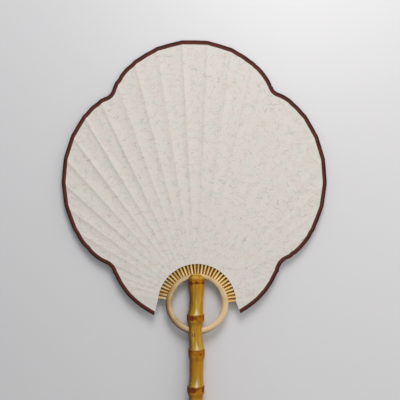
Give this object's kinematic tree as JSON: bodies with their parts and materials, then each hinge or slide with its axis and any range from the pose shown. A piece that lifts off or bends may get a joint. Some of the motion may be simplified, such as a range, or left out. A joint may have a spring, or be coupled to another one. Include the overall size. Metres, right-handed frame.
{
  "type": "uchiwa fan",
  "caption": "Rigid paper hand fan with a five-lobed leaf on radiating bamboo ribs, a ring and a knobbly cane handle.",
  "frame": {"origin": "centre of the handle's flat butt end", "axes": "+Y along the handle's axis to the leaf, +Z out of the fan's face, +X to the right as the face is seen"},
  "size_m": [0.2652, 0.3996, 0.0176],
  "materials": {
    "cane": "satin",
    "ring_wood": "satin",
    "ribs": "matte",
    "paper_front": "matte",
    "paper_back": "matte",
    "binding": "matte"
  },
  "bodies": {
    "root": {"handle": "cane", "ring": "ring_wood", "rib_01": "ribs", "rib_02": "ribs", "rib_03": "ribs", "rib_04": "ribs", "rib_05": "ribs", "rib_06": "ribs", "rib_07": "ribs", "rib_08": "ribs", "rib_09": "ribs", "rib_10": "ribs", "rib_11": "ribs", "rib_12": "ribs", "rib_13": "ribs", "rib_14": "ribs", "rib_15": "ribs", "rib_16": "ribs", "rib_17": "ribs", "rib_18": "ribs", "rib_19": "ribs", "rib_20": "ribs", "rib_21": "ribs", "rib_22": "ribs", "rib_23": "ribs", "rib_24": "ribs", "rib_25": "ribs", "rib_26": "ribs", "rib_27": "ribs", "rib_28": "ribs", "rib_29": "ribs", "rib_30": "ribs", "rib_31": "ribs", "leaf_front": "paper_front", "leaf_back": "paper_back", "edge_binding": "binding"}
  },
  "joints": []
}
